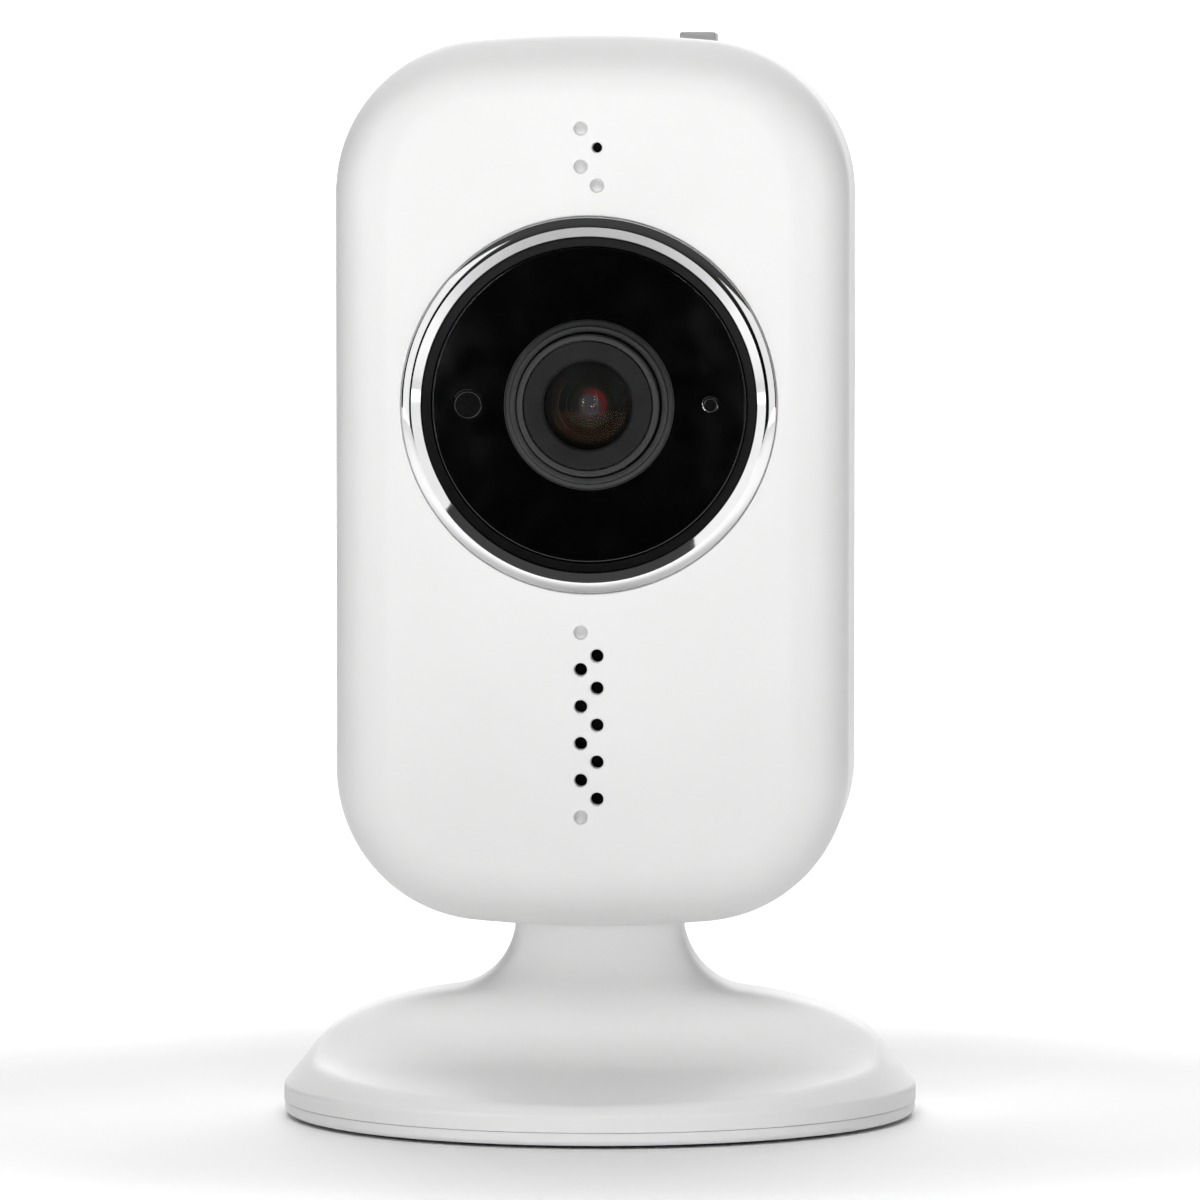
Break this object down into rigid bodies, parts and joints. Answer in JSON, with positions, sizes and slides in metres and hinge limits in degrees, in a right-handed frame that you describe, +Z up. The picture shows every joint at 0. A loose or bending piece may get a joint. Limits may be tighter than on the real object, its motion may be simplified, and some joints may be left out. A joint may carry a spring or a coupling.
{
  "type": "baby monitor camera",
  "caption": "Desk-standing nursery camera: upright rounded white head with a ringed lens window, speaker and microphone dots, tilting on a flared round stand.",
  "frame": {"origin": "centre of the foot ring's underside, on the surface that the camera stands on", "axes": "+Z up, the lens looks along -Y, +X is to the right as seen from in front"},
  "size_m": [0.075, 0.075, 0.1283],
  "materials": {
    "white_plastic": "satin, fine texture",
    "button_grey": "satin",
    "bright_ring": "polished",
    "dark_window": "polished, infra-red clear",
    "black_plastic": "fine matte",
    "clear_plastic": "clear over dark",
    "black_metal": "black anodised",
    "lens_glass": "coated, polished",
    "board_green": "solder mask",
    "chip_black": "moulded epoxy",
    "lamp_clear": "clear resin",
    "steel": "zinc plated",
    "heat_aluminium": "extruded",
    "copper": "bare copper",
    "magnet": "plated",
    "power_metal": "dark sleeves",
    "ivory_plastic": "natural",
    "lead_sleeve": "soft sleeve",
    "ribbon": "film",
    "label_film": "matt film, blank",
    "grey_rubber": "matt",
    "ballast_steel": "oiled"
  },
  "bodies": {
    "stand": {"stand_shell": "white_plastic", "hinge_bushes": "ivory_plastic", "stand_cover": "white_plastic", "foot_ring": "grey_rubber", "cover_screws": "steel", "ballast_plate": "ballast_steel"},
    "head": {"front_casing": "white_plastic", "rear_casing": "white_plastic", "bezel_ring": "bright_ring", "window_panel": "dark_window", "lens_bezel": "black_plastic", "lens_shroud": "black_plastic", "lens_retaining_ring": "black_plastic", "lens_holder": "black_plastic", "lens_spacers": "black_plastic", "filter_housing": "black_plastic", "button_switch": "black_plastic", "speaker_cone": "black_plastic", "light_sensor_window": "clear_plastic", "status_light_window": "clear_plastic", "lens_barrel": "black_metal", "lens_front_glass": "lens_glass", "lens_middle_glass": "lens_glass", "lens_rear_glass": "lens_glass", "sensor_board": "board_green", "main_board": "board_green", "night_light_board": "board_green", "processor": "chip_black", "memory_chips": "chip_black", "image_sensor": "chip_black", "light_sensor": "chip_black", "night_lights": "lamp_clear", "status_light": "lamp_clear", "casing_screws": "steel", "inner_screws": "steel", "hinge_pin": "steel", "hinge_cradle": "steel", "friction_washers": "steel", "speaker_frame": "steel", "usb_socket": "steel", "card_socket": "steel", "wireless_module": "steel", "microphone": "steel", "heat_spreader": "heat_aluminium", "filter_coil": "copper", "antenna": "copper", "speaker_magnet": "magnet", "power_parts": "power_metal", "connector_blocks": "ivory_plastic", "signal_leads": "lead_sleeve", "antenna_lead": "lead_sleeve", "flat_cable": "ribbon", "rating_label": "label_film", "microphone_boot": "grey_rubber", "speaker_gasket": "grey_rubber"},
    "button": {"top_button": "button_grey", "switch_plunger": "ivory_plastic"},
    "filter": {"filter_slider": "black_plastic", "filter_glasses": "lens_glass", "filter_magnet": "magnet"}
  },
  "joints": [
    {"name": "head_tilt", "type": "hinge", "parent": "stand", "child": "head", "pos_m": [0, 0, 0.031], "axis": [-1, 0, 0], "range_deg": [-12, 22]},
    {"name": "button_press", "type": "slide", "parent": "head", "child": "button", "axis": [0, 0, -1], "range_m": [0, 0.0005], "stiffness_N_per_m": 3000},
    {"name": "filter_shift", "type": "slide", "parent": "head", "child": "filter", "axis": [1, 0, 0], "range_m": [0, 0.0066]}
  ]
}
